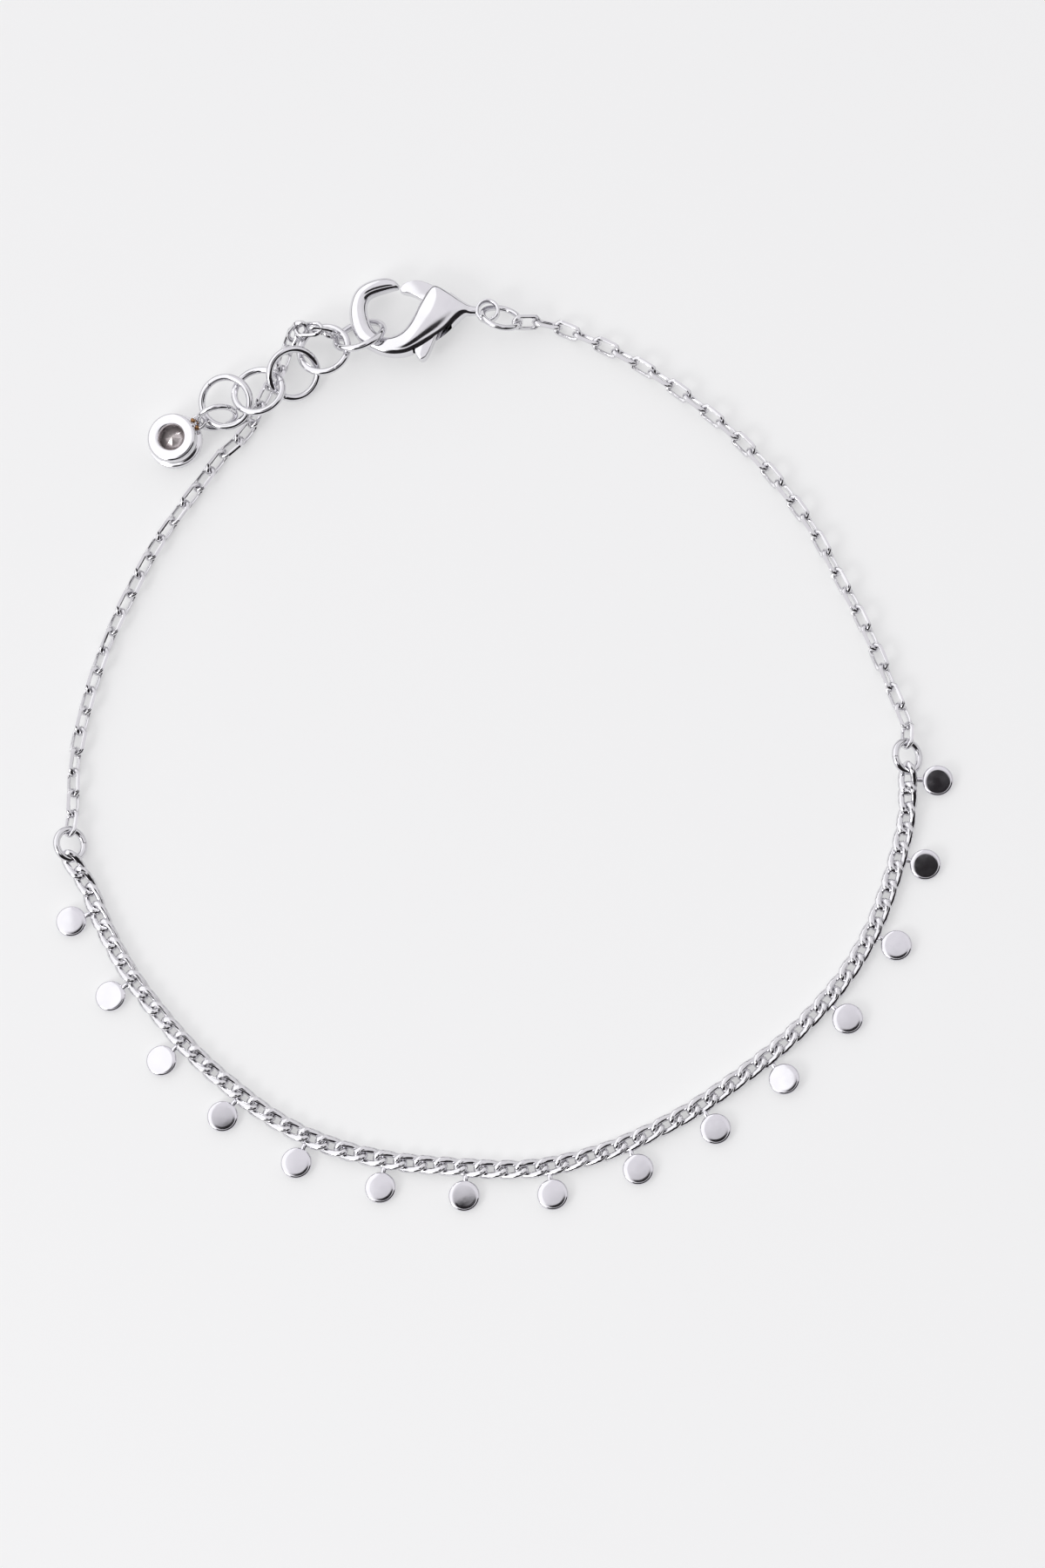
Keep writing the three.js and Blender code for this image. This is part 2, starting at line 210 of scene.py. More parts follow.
@dataclass(frozen=True)
class MattAcrylic:
    """Matt white acrylic sheet under the bracelet, lit a little from below so that shadows stay faint."""

    name: str
    colour: str
    glow: float                   # light that comes through it from below
    glow_colour: Colour = (1.0, 1.0, 1.005, 1.0)
    roughness: float = 0.7
    grain_mm: float = 2.0         # spacing of the matt grain, drawn coarser than it is so that it shows
    grain_height_mm: float = 0.01
    grain_strength: float = 0.1

    def build(self) -> bpy.types.Material:
        """Makes the material.

        Returns:
            The new material.
        """
        material, tree = new_tree(self.name)
        place = add_node(tree, "ShaderNodeTexCoord").outputs["Object"]
        grain = add_node(tree, "ShaderNodeTexNoise", inputs={
            "Vector": place, "Scale": 1 / (self.grain_mm * MM), "Detail": 4.0})
        relief = add_node(tree, "ShaderNodeBump", inputs={
            "Strength": self.grain_strength, "Distance": self.grain_height_mm * MM,
            "Height": grain.outputs["Fac"]})
        shader = add_node(tree, "ShaderNodeBsdfPrincipled", inputs={
            "Base Color": srgb(self.colour), "Roughness": self.roughness,
            "Normal": relief.outputs["Normal"], "Emission Color": self.glow_colour,
            "Emission Strength": self.glow})
        add_node(tree, "ShaderNodeOutputMaterial", inputs={"Surface": shader.outputs["BSDF"]})
        return material


class Finish(Enum):
    """The finishes of the bracelet, one per way of working the metal."""

    # Rhodium over brass, machine-cut chain: bright, with crisp small facets.
    CHAIN = PlatedMetal("rhodium_cut_chain", "E8E7E9", "D6D5D9", 0.05, 0.35, 0.0008)
    # Rhodium over brass wire, tumbled to a mirror: thin bright and dark lines run along it.
    WIRE = PlatedMetal("rhodium_polished_wire", "E8E7EA", "D8D7DB", 0.06, 0.6, 0.0012)
    # Rhodium over a lost-wax casting, polished by hand, so its mirror is a little softer.
    CASTING = PlatedMetal("rhodium_polished_casting", "EAE9EC", "DDDCE0", 0.09, 1.1, 0.003)
    # Rhodium over stamped discs: each face mirrors one even patch of the room.
    COIN = PlatedMetal("rhodium_polished_coin", "E8E7EB", "DCDAE0", 0.1, 0.8, 0.002)
    # Bare hard solder beside the end drop's loop: dull and coppery against the plating.
    SOLDER = PlatedMetal("bare_hard_solder", "B88D62", "8C6544", 0.22, 0.15, 0.004)
    # A cut glass chaton with its foiled back: grey facets, softened by the lacquer over the foil.
    STONE = FoiledGlass("foiled_chaton", "EAE3E2", "A89D9C")

    def material(self) -> bpy.types.Material:
        """Returns the finish's material, made once."""
        return bpy.data.materials.get(self.value.name) or self.value.build()


# ---------------- mesh helpers
def show_piece(bm: Mesh, name: str, finish: Finish, replaces: list[str],
               body: str = "bracelet", sharp_deg: float = 38.0) -> bpy.types.Object:
    """Turns a finished bmesh to a piece of the bracelet.

    Args:
        bm: the mesh, in millimetres in the routes' frame. It is freed.
        name: the piece's name.
        finish: the finish that it wears.
        replaces: the CAD nodes that it stands for.
        body: the CAD body that it rides on.
        sharp_deg: faces that meet at more than this angle keep a hard edge.

    Returns:
        The new object.
    """
    bmesh.ops.remove_doubles(bm, verts=bm.verts, dist=MERGE_MM)
    bmesh.ops.recalc_face_normals(bm, faces=bm.faces)
    bmesh.ops.transform(bm, matrix=TO_FRAME, verts=bm.verts)
    for face in bm.faces:
        face.smooth = True
    mesh = bpy.data.meshes.new(name)
    bm.to_mesh(mesh)
    bm.free()
    mesh.set_sharp_from_angle(angle=math.radians(sharp_deg))
    mesh.materials.append(finish.material())
    piece = bpy.data.objects.new(name, mesh)
    bpy.context.scene.collection.objects.link(piece)
    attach(piece, body)
    if replaces:
        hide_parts(*replaces)
    LOG.info("%s: %d faces, %s", name, len(mesh.polygons), finish.value.name)
    return piece


def open_edges(bm: Mesh) -> list[bmesh.types.BMEdge]:
    """Returns the edges that bound an open end."""
    return [edge for edge in bm.edges if edge.is_boundary or edge.is_wire]


def edges_of(ring: list[bmesh.types.BMVert]) -> list[bmesh.types.BMEdge]:
    """Returns the edges of a ring of vertices, each once and in order."""
    return list(dict.fromkeys(edge for vert in ring for edge in vert.link_edges))


def copied_in(target: Mesh, source: Mesh, place: Matrix) -> None:
    """Adds a placed copy of one mesh to another.

    Args:
        target: the mesh that grows.
        source: the mesh to copy; it is kept.
        place: where the copy goes.
    """
    spare = bpy.data.meshes.new("spare")
    source.to_mesh(spare)
    known = len(target.verts)
    target.from_mesh(spare)
    target.verts.ensure_lookup_table()
    bmesh.ops.transform(target, matrix=place, verts=target.verts[known:])
    bpy.data.meshes.remove(spare)


def moved_in(target: Mesh, source: Mesh, place: Matrix) -> None:
    """Adds one mesh to another at a place, and frees it."""
    copied_in(target, source, place)
    source.free()


def bent_wire(radius: float, wire: float, sides: int, steps: int, gap: float = 0.0) -> Mesh:
    """Bends round wire to a ring in the XY plane, starting at +X.

    Args:
        radius: of the wire's centre line.
        wire: the wire's diameter.
        sides: sides of the wire's section.
        steps: steps of the bend.
        gap: the angle that stays open, in radians, or zero for a closed ring.

    Returns:
        The ring.
    """
    bm = bmesh.new()
    start = Matrix.Translation((radius, 0, 0)) @ Matrix.Rotation(math.pi / 2, 4, "X")
    bmesh.ops.create_circle(bm, segments=sides, radius=wire / 2, cap_ends=False, matrix=start)
    bmesh.ops.spin(bm, geom=bm.verts[:] + bm.edges[:], cent=(0, 0, 0), axis=(0, 0, 1),
                   angle=2 * math.pi - gap, steps=steps, use_merge=not gap, use_duplicate=False)
    return bm


def spun_profile(profile: list[Pair], steps: int) -> Mesh:
    """Turns a closed profile of radius and height about Z.

    Args:
        profile: the profile's points. One that starts and ends on the axis makes a solid.
        steps: steps of the full turn.

    Returns:
        The turned mesh.
    """
    bm = bmesh.new()
    points = [bm.verts.new((radius, 0.0, height)) for radius, height in profile]
    closed = profile[0][0] > 0
    for start, end in zip(points, points[1:] + (points[:1] if closed else [])):
        bm.edges.new((start, end))
    bmesh.ops.spin(bm, geom=bm.verts[:] + bm.edges[:], cent=(0, 0, 0), axis=(0, 0, 1),
                   angle=2 * math.pi, steps=steps, use_merge=True, use_duplicate=False)
    bmesh.ops.remove_doubles(bm, verts=bm.verts, dist=MERGE_MM)
    bmesh.ops.recalc_face_normals(bm, faces=bm.faces)
    return bm


def plate(outline: Sequence[Pair], thickness: float, edge: float) -> Mesh:
    """Makes a plate of an outline in the XY plane, its middle at zero height.

    Args:
        outline: the corners, in order.
        thickness: the plate's whole thickness.
        edge: radius of its rounded edges, or zero.

    Returns:
        The plate.
    """
    bm = bmesh.new()
    sheet = bm.faces.new([bm.verts.new((x, y, -thickness / 2)) for x, y in outline])
    grown = bmesh.ops.extrude_face_region(bm, geom=[sheet], use_keep_orig=True)["geom"]
    top = [v for v in grown if isinstance(v, bmesh.types.BMVert)]
    bmesh.ops.translate(bm, vec=(0, 0, thickness), verts=top)
    bmesh.ops.recalc_face_normals(bm, faces=bm.faces)
    if edge:
        rims = [e for e in bm.edges if abs(e.verts[0].co.z - e.verts[1].co.z) < MERGE_MM]
        bmesh.ops.bevel(bm, geom=rims, offset=edge, offset_type="OFFSET", affect="EDGES", segments=4,
                        profile=0.5, material=-1, clamp_overlap=True)
    return bm


def rounded(outline: Sequence[Pair], steps: int) -> list[Pair]:
    """Draws a smooth closed line through an outline's corners.

    Args:
        outline: the corners, in order.
        steps: points for each side.

    Returns:
        The points of the smooth outline.
    """
    corners = [Vector((x, y, 0)) for x, y in outline]
    count = len(corners)
    line = []
    for i in range(count):
        around = [corners[(i + k) % count] for k in (-1, 0, 1, 2)]
        line += [Route.between(*around, step / steps).xy.to_tuple() for step in range(steps)]
    return line


def post(radius: float, height: float, segments: int = 24) -> Mesh:
    """Makes an upright round post, its middle at the origin.

    Args:
        radius: the post's radius.
        height: its whole height.
        segments: sides of its section.

    Returns:
        The post.
    """
    bm = bmesh.new()
    bmesh.ops.create_cone(bm, cap_ends=True, segments=segments, radius1=radius, radius2=radius,
                          depth=height)
    return bm


def carved(body: Mesh, cutter: Mesh, levels: int = 0) -> Mesh:
    """Rounds a body by subdivision and cuts another shape out of it.

    Args:
        body: the body. It is freed.
        cutter: what comes away. It is freed.
        levels: subdivision levels of the body before the cut.

    Returns:
        The carved body.
    """
    parts = []
    for name, bm in (("body", body), ("cutter", cutter)):
        parts.append(bpy.data.objects.new(name, bpy.data.meshes.new(name)))
        bm.to_mesh(parts[-1].data)
        bm.free()
        bpy.context.scene.collection.objects.link(parts[-1])
    if levels:
        rounding = parts[0].modifiers.new("rounding", "SUBSURF")
        rounding.levels = rounding.render_levels = levels
    cutting = parts[0].modifiers.new("cutting", "BOOLEAN")
    cutting.object, cutting.operation, cutting.solver = parts[1], "DIFFERENCE", "EXACT"
    bpy.context.view_layer.update()
    done = bmesh.new()
    done.from_object(parts[0], bpy.context.evaluated_depsgraph_get())
    for part in parts:
        bpy.data.meshes.remove(part.data)
    return done


def leaning(angle: float, bearing: float) -> Matrix:
    """Returns the turn that raises the side at a bearing, both in degrees."""
    t = math.radians(bearing)
    return Matrix.Rotation(math.radians(angle), 4, Vector((math.sin(t), -math.cos(t), 0)))


# ---------------- routes
@dataclass
class Route:
    """A smooth line through points, measured along its length."""

    points: list[Vector]
    per_span: int = 14
    track: list[Vector] = field(default_factory=list)
    marks: list[float] = field(default_factory=list)

    def __post_init__(self) -> None:
        """Walks the line and notes the length at each step."""
        p = [2 * self.points[0] - self.points[1], *self.points, 2 * self.points[-1] - self.points[-2]]
        for i in range(1, len(p) - 2):
            self.track += [self.between(*p[i - 1:i + 3], k / self.per_span) for k in range(self.per_span)]
        self.track.append(self.points[-1].copy())
        self.marks = [0.0]
        for start, end in zip(self.track, self.track[1:]):
            self.marks.append(self.marks[-1] + (end - start).length)

    @staticmethod
    def between(p0: Vector, p1: Vector, p2: Vector, p3: Vector, part: float) -> Vector:
        """Finds a point on the span from p1 to p2 of a centripetal spline.

        Args:
            p0: the point before the span.
            p1: the span's start.
            p2: the span's end.
            p3: the point after the span.
            part: how far along the span, from zero to one.

        Returns:
            The point.
        """
        t1 = (p1 - p0).length ** 0.5
        t2 = t1 + (p2 - p1).length ** 0.5
        t3 = t2 + (p3 - p2).length ** 0.5
        t = t1 + (t2 - t1) * part
        a1 = p0.lerp(p1, t / t1)
        a2 = p1.lerp(p2, (t - t1) / (t2 - t1))
        a3 = p2.lerp(p3, (t - t2) / (t3 - t2))
        b1 = a1.lerp(a2, t / t2)
        b2 = a2.lerp(a3, (t - t1) / (t3 - t1))
        return b1.lerp(b2, (t - t1) / (t2 - t1))

    @property
    def length(self) -> float:
        """The whole length."""
        return self.marks[-1]

    def point(self, along: float) -> Vector:
        """Finds the point at a length along the line; past an end the line goes straight on.

        Args:
            along: the length from the line's start.

        Returns:
            The point.
        """
        last = len(self.marks) - 2
        i = next((k for k, mark in enumerate(self.marks[1:]) if mark >= along), last)
        part = (along - self.marks[i]) / (self.marks[i + 1] - self.marks[i])
        return self.track[i].lerp(self.track[i + 1], part)

    def frame(self, along: float, half: float, roll: float = 0.0) -> Matrix:
        """Finds a link's place: X along the chain, Y across it, Z up before the roll.

        Args:
            along: length at the link's middle.
            half: half the length of line that the link spans.
            roll: the link's turn about the chain, in degrees.

        Returns:
            The place.
        """
        start, end = self.point(along - half), self.point(along + half)
        forward = (end - start).normalized()
        across = Vector((0, 0, 1)).cross(forward).normalized()
        turn = Matrix((forward, across, forward.cross(across))).transposed().to_4x4()
        return Matrix.Translation((start + end) / 2) @ turn @ Matrix.Rotation(math.radians(roll), 4, "X")


def route_points(rows: list[tuple], height: float) -> list[Vector]:
    """Returns the rows as points at a height, a third number being a lift above it."""
    return [Vector((row[0], row[1], height + (row[2] if len(row) > 2 else 0.0))) for row in rows]


# ---------------- jump rings
@dataclass
class JumpRing:
    """A ring of round wire, sawn through at one place and closed."""

    node: str
    radius: float        # of the wire's centre line
    wire: float
    centre: Place
    lean: float          # degrees out of level
    high: float          # bearing of the side that comes up
    seam: float = 90.0   # where the saw cut is, in degrees round the ring
    sides: int = 14
    steps: int = 72
    cut: float = 0.012   # width of the closed saw cut
    burr: float = 0.006  # how far the sawn ends are rounded

    @property
    def place(self) -> Matrix:
        """The ring's place from its own level frame."""
        return Matrix.Translation(self.centre) @ leaning(self.lean, self.high)

    def wire_point(self, bearing: float) -> Vector:
        """Returns the point of the wire's centre line at a bearing in the ring's own plane."""
        t = math.radians(bearing)
        return self.place @ Vector((self.radius * math.cos(t), self.radius * math.sin(t), 0))

    def build(self) -> None:
        """Bends the wire round, leaves the saw cut and rounds its two ends a little."""
        bm = bent_wire(self.radius, self.wire, self.sides, self.steps, self.cut / self.radius)
        bmesh.ops.holes_fill(bm, edges=open_edges(bm), sides=0)
        ends = [face for face in bm.faces if len(face.verts) > 4]
        bmesh.ops.bevel(bm, geom=[e for face in ends for e in face.edges], offset=self.burr,
                        affect="EDGES", segments=2, profile=0.5, material=-1)
        bmesh.ops.transform(bm, matrix=self.place @ Matrix.Rotation(math.radians(self.seam), 4, "Z"),
                            verts=bm.verts)
        show_piece(bm, f"{self.node}_wire", Finish.WIRE, [self.node])


RINGS = {ring.node: ring for ring in (
    JumpRing("extender_ring_1", 1.7, 0.5, (-9.97, 29.13, 1.46), 45, -71, 200),
    JumpRing("extender_ring_2", 1.7, 0.5, (-12.45, 28.2, 1.4), 11, -46, 300),
    JumpRing("extender_ring_3", 1.7, 0.5, (-14.55, 26.55, 1.35), 34, 130, 250),
    JumpRing("extender_ring_4", 1.7, 0.5, (-16.95, 25.3, 1.55), 16, -62, 20),
    JumpRing("extender_ring_5", 1.7, 0.5, (-19.24, 24.69, 1.27), 15.4, 67, 130),
    JumpRing("drop_ring", 1.3, 0.4, (-19.82, 23.53, 1.47), 76, 103, 60),
    JumpRing("clasp_ring", 1.32, 0.42, (-0.17, 30.09, 1.4), 46, -113, 330),
    JumpRing("curb_ring_left", 1.03, 0.5, (-29.6, -6.25, 0.88), 36, 180, 10),
    JumpRing("curb_ring_right", 1.03, 0.5, (27.2, -1.55, 0.95), 42, 180, 190),
)}


# ---------------- chains
@dataclass
class OvalLink:
    """One link of round wire with two straight sides, its centre line in the XY plane."""

    half_length: float
    half_width: float
    wire: float
    sides: int = 8
    arc_steps: int = 8
    side_steps: int = 3
    bulge: float = 0.0       # how much wider the middle is than the ends, as a part of the width
    weld: float = 0.001      # how near the wire's two ends come before they are welded

    def build(self) -> Mesh:
        """Bends the wire round both ends and draws it along both sides.

        Returns:
            The link.
        """
        bm = bmesh.new()
        straight = 2 * (self.half_length - self.half_width)
        start = (Matrix.Translation((straight / 2, -self.half_width, 0))
                 @ Matrix.Rotation(math.pi / 2, 4, "Y") @ Matrix.Rotation(math.pi / self.sides, 4, "Z"))
        bmesh.ops.create_circle(bm, segments=self.sides, radius=self.wire / 2, cap_ends=False, matrix=start)
        loop = bm.verts[:] + bm.edges[:]
        for side in (1, -1):
            loop = bmesh.ops.spin(bm, geom=loop, cent=(side * straight / 2, 0, 0), axis=(0, 0, 1),
                                  angle=math.pi, steps=self.arc_steps, use_merge=False,
                                  use_duplicate=False)["geom_last"]
            for _ in range(self.side_steps):
                edges = [item for item in loop if isinstance(item, bmesh.types.BMEdge)]
                grown = bmesh.ops.extrude_edge_only(bm, edges=edges)["geom"]
                verts = [item for item in grown if isinstance(item, bmesh.types.BMVert)]
                bmesh.ops.translate(bm, vec=(-side * straight / self.side_steps, 0, 0), verts=verts)
                loop = verts + [item for item in grown if isinstance(item, bmesh.types.BMEdge)
                                and all(end in verts for end in item.verts)]
        bmesh.ops.remove_doubles(bm, verts=bm.verts, dist=self.weld)
        for vert in bm.verts:
            vert.co.y *= 1 + self.bulge * (0.5 - (vert.co.x / self.half_length) ** 2)
        bmesh.ops.recalc_face_normals(bm, faces=bm.faces)
        return bm


@dataclass
class CurbChain:
    """The curb chain: each link is twisted so that all of them lie flat, then faced off on a wheel."""

    link: OvalLink = field(default_factory=lambda: OvalLink(0.955, 0.43, 0.49, 10, 8, 3))
    twist: float = -0.92      # radians for each millimetre along the link
    face_height: float = 0.4  # the wheel's flats above and below the middle
    lie: float = 0.43         # height of the chain's middle
    pitch: float = 1.3665
    sway: float = 7.0         # most that a link rolls out of level, in degrees
    coin_first: float = 3.45
    coin_spacing: float = 5.48

    @property
    def coin_route(self) -> Route:
        """The line that the coins are spaced along."""
        return Route(route_points(CURB_ROUTE, self.lie))

    @property
    def route(self) -> Route:
        """The line of the links, from ring to ring.

        Returns:
            The line.
        """
        first = RINGS["curb_ring_left"].wire_point(-90)
        last = RINGS["curb_ring_right"].wire_point(-90)
        return Route([first, *route_points(CURB_ROUTE, self.lie)[1:-1], last])

    def shaped_link(self) -> Mesh:
        """Twists one link about the chain and flattens its top and its underside.

        Returns:
            The link.
        """
        bm = self.link.build()
        for vert in bm.verts:
            vert.co = Matrix.Rotation(self.twist * vert.co.x, 3, "X") @ vert.co
            vert.co.z = max(-self.face_height, min(self.face_height, vert.co.z))
        return bm

    def build(self) -> None:
        """Threads the links along the route."""
        route = self.route
        inset = self.link.half_length - (RINGS["curb_ring_left"].wire + self.link.wire) / 2
        count = round((route.length - 2 * inset) / self.pitch) + 1
        pitch = (route.length - 2 * inset) / (count - 1)
        LOG.info("curb chain: %.2f mm, %d links, pitch %.4f mm", route.length, count, pitch)
        whole, link = bmesh.new(), self.shaped_link()
        for i in range(count):
            roll = RANDOM.uniform(-self.sway, self.sway)
            copied_in(whole, link, route.frame(inset + i * pitch, pitch / 2, roll))
        link.free()
        show_piece(whole, "curb_links", Finish.CHAIN, ["curb_chain"], sharp_deg=44)


@dataclass
class CableChain:
    """A diamond-cut cable chain: plain oval links, each a quarter turn from the last."""

    node: str
    route: Route
    first_roll: float     # of the first link and every second one, in degrees
    last_roll: float      # of the links between them
    pitch: float
    link: OvalLink = field(default_factory=lambda: OvalLink(0.92, 0.44, 0.37, 10, 7, 4, 0.36))
    cut: float = 0.415        # the diamond wheel's flats on four sides of the chain
    ring_wire: float = 0.5
    slack: float = 0.0        # length at the end where the links lie pushed together
    slack_pitch: float = 1.0
    sway: float = 8.0         # most that a drawn link rolls out of its turn, in degrees
    loose_sway: float = 4.0   # how many times more a loose one does
    loose_turn: float = 28.0  # most that a loose link turns in its own plane, in degrees

    def stations(self) -> list[float]:
        """Spaces the links along the route, closer where it is slack.

        Returns:
            The length along the route at each link's middle.
        """
        inset = self.link.half_length - (self.ring_wire + self.link.wire) / 2
        start, turn, end = inset, self.route.length - self.slack, self.route.length - inset
        turn = turn if self.slack else end
        drawn, loose = round((turn - start) / self.pitch), round((end - turn) / self.slack_pitch)
        return ([start + (turn - start) * i / drawn for i in range(drawn)]
                + [turn + (end - turn) * i / max(loose, 1) for i in range(loose + 1)])

    def build(self) -> None:
        """Threads the links along the route."""
        stations = self.stations()
        LOG.info("%s: %.2f mm, %d links", self.node, self.route.length, len(stations))
        whole, link = bmesh.new(), self.link.build()
        quarter = Matrix.Rotation(math.pi / 4, 3, "X")
        for vert in link.verts:
            facing = quarter @ vert.co
            facing.y = max(-self.cut, min(self.cut, facing.y))
            facing.z = max(-self.cut, min(self.cut, facing.z))
            vert.co = quarter.inverted() @ facing
        for i, along in enumerate(stations):
            loose = along > self.route.length - self.slack and i < len(stations) - 1
            roll = self.last_roll if i % 2 else self.first_roll
            roll += RANDOM.uniform(-self.sway, self.sway) * (self.loose_sway if loose else 1)
            turn = RANDOM.uniform(-self.loose_turn, self.loose_turn) * loose
            copied_in(whole, link, self.route.frame(along, self.pitch / 2, roll)
                      @ Matrix.Rotation(math.radians(turn), 4, "Z"))
        link.free()
        show_piece(whole, f"{self.node}_links", Finish.CHAIN, [self.node], sharp_deg=44)


# ---------------- coins
@dataclass
class Coins:
    """The plain round discs, each on a short neck soldered to a curb link."""

    chain: CurbChain
    diameter: float = 2.1
    thickness: float = 0.4
    face: float = 0.86        # radius of the face inside the rounded rim
    dome: float = 0.012       # how far the face swells
    offset: float = 1.9       # chain to disc centre
    neck_width: float = 0.36
    neck_thickness: float = 0.26
    neck_root: float = 0.3    # how far it runs back into the link's solder
    neck_reach: float = 0.93  # where it ends inside the disc, as a part of the disc's radius
    neck_edge: float = 0.06
    steps: int = 48           # of the disc's full turn
    half_chain: float = 0.76  # chain's half width and the solder's thickness
    height: float = 0.42      # of the neck's start
    # How far each coin hangs down and rolls, in degrees.
    drops: tuple[float, ...] = (1, 4, 4, 1, 2, 3, 3.5, 3, 3, 3, 0.5, 2, 2, 3, 2)
    rolls: tuple[float, ...] = (-4, 0, 1, -5, -2, -1, -3.5, 0.5, 1, 1, 5.5, 3, 2, 7.5, 8)

    def disc(self) -> Mesh:
        """Makes one disc with its neck, the neck's start at the origin and the disc along +X.

        Returns:
            The disc.
        """
        r, top = self.diameter / 2, self.thickness / 2
        parts = [k / 5 for k in range(6)]
        swell = [(self.face * part, top - self.dome * part ** 2) for part in parts]
        edge = swell[-1][1]
        rim = [(self.face + (r - self.face) * math.sin(a), edge * math.cos(a))
               for a in (math.radians(angle) for angle in (24, 46, 68))]
        upper = [*swell, *rim]
        bm = spun_profile([*upper, (r, 0.0), *[(x, -z) for x, z in reversed(upper)]], self.steps)
        centre = self.offset - self.half_chain
        bmesh.ops.translate(bm, vec=(centre, 0, 0), verts=bm.verts)
        inner, outer = -self.neck_root, centre - r * self.neck_reach
        neck = post(self.neck_width / 2, outer - inner, 16)
        bmesh.ops.rotate(neck, cent=(0, 0, 0), matrix=Matrix.Rotation(math.pi / 2, 3, "Y"),
                         verts=neck.verts)
        bmesh.ops.scale(neck, vec=(1, 1, self.neck_thickness / self.neck_width), verts=neck.verts)
        bmesh.ops.translate(neck, vec=((outer + inner) / 2, 0, 0), verts=neck.verts)
        ends = [edge for face in neck.faces if len(face.verts) > 4 for edge in face.edges]
        bmesh.ops.bevel(neck, geom=ends, offset=self.neck_edge, affect="EDGES", segments=3, profile=0.5,
                        material=-1)
        moved_in(bm, neck, Matrix())
        return bm

    def build(self) -> None:
        """Hangs a disc at each place along the chain."""
        route = self.chain.coin_route
        disc = self.disc()
        for i, (drop, roll) in enumerate(zip(self.drops, self.rolls)):
            along = self.chain.coin_first + i * self.chain.coin_spacing
            link_place = route.frame(along, 0.05)
            outward = -(link_place.to_3x3() @ Vector((0, 1, 0)))
            place = link_place.translation + outward * self.half_chain
            place.z = self.height
            turn = (Matrix.Rotation(math.atan2(outward.y, outward.x), 4, "Z")
                    @ Matrix.Rotation(math.radians(drop), 4, "Y")
                    @ Matrix.Rotation(math.radians(roll), 4, "X"))
            bm = bmesh.new()
            copied_in(bm, disc, Matrix.Translation(place) @ turn)
            show_piece(bm, f"coin_{i + 1:02d}_disc", Finish.COIN, [f"coin_{i + 1:02d}"])
        disc.free()


# ---------------- clasp
@dataclass(frozen=True)
class ClawSection:
    """One section of the claw: its outer and inner end in the clasp's plane, and its half thickness."""

    outer: Pair
    inner: Pair
    half: float
    squareness: float = 2.2   # 2 is an ellipse, more is boxier

    @property
    def row(self) -> Vector:
        """The section as one row of numbers."""
        return Vector((*self.outer, *self.inner, self.half, self.squareness))


CLAW = [ClawSection(*row) for row in (
    ((-2.62, 1.88), (-2.72, 1.58), 0.26), ((-3.05, 2.30), (-3.05, 1.52), 0.46),
    ((-3.82, 2.46), (-3.78, 1.32), 0.56), ((-5.00, 2.15), (-4.45, 1.10), 0.60),
    ((-5.80, 1.45), (-4.80, 0.80), 0.60), ((-6.15, 0.20), (-4.90, 0.15), 0.60),
    ((-5.95, -1.15), (-4.62, -0.95), 0.60), ((-5.25, -2.30), (-4.15, -1.52), 0.61),
    ((-3.80, -3.15), (-3.50, -1.84), 0.66), ((-2.45, -3.28), (-2.62, -1.60), 0.76, 2.4),
    ((-1.38, -2.95), (-1.90, -0.80), 0.84, 2.4), ((-0.30, -2.38), (-1.18, 0.75), 0.88, 2.4),
    ((0.67, -1.72), (-0.35, 1.90), 0.88, 2.4), ((1.36, -0.98), (0.68, 1.43), 0.80, 2.3),
    ((1.92, -0.48), (1.62, 0.70), 0.60), ((2.24, -0.46), (2.22, 0.32), 0.42),
    ((2.72, -0.42), (2.72, 0.18), 0.30),
)]


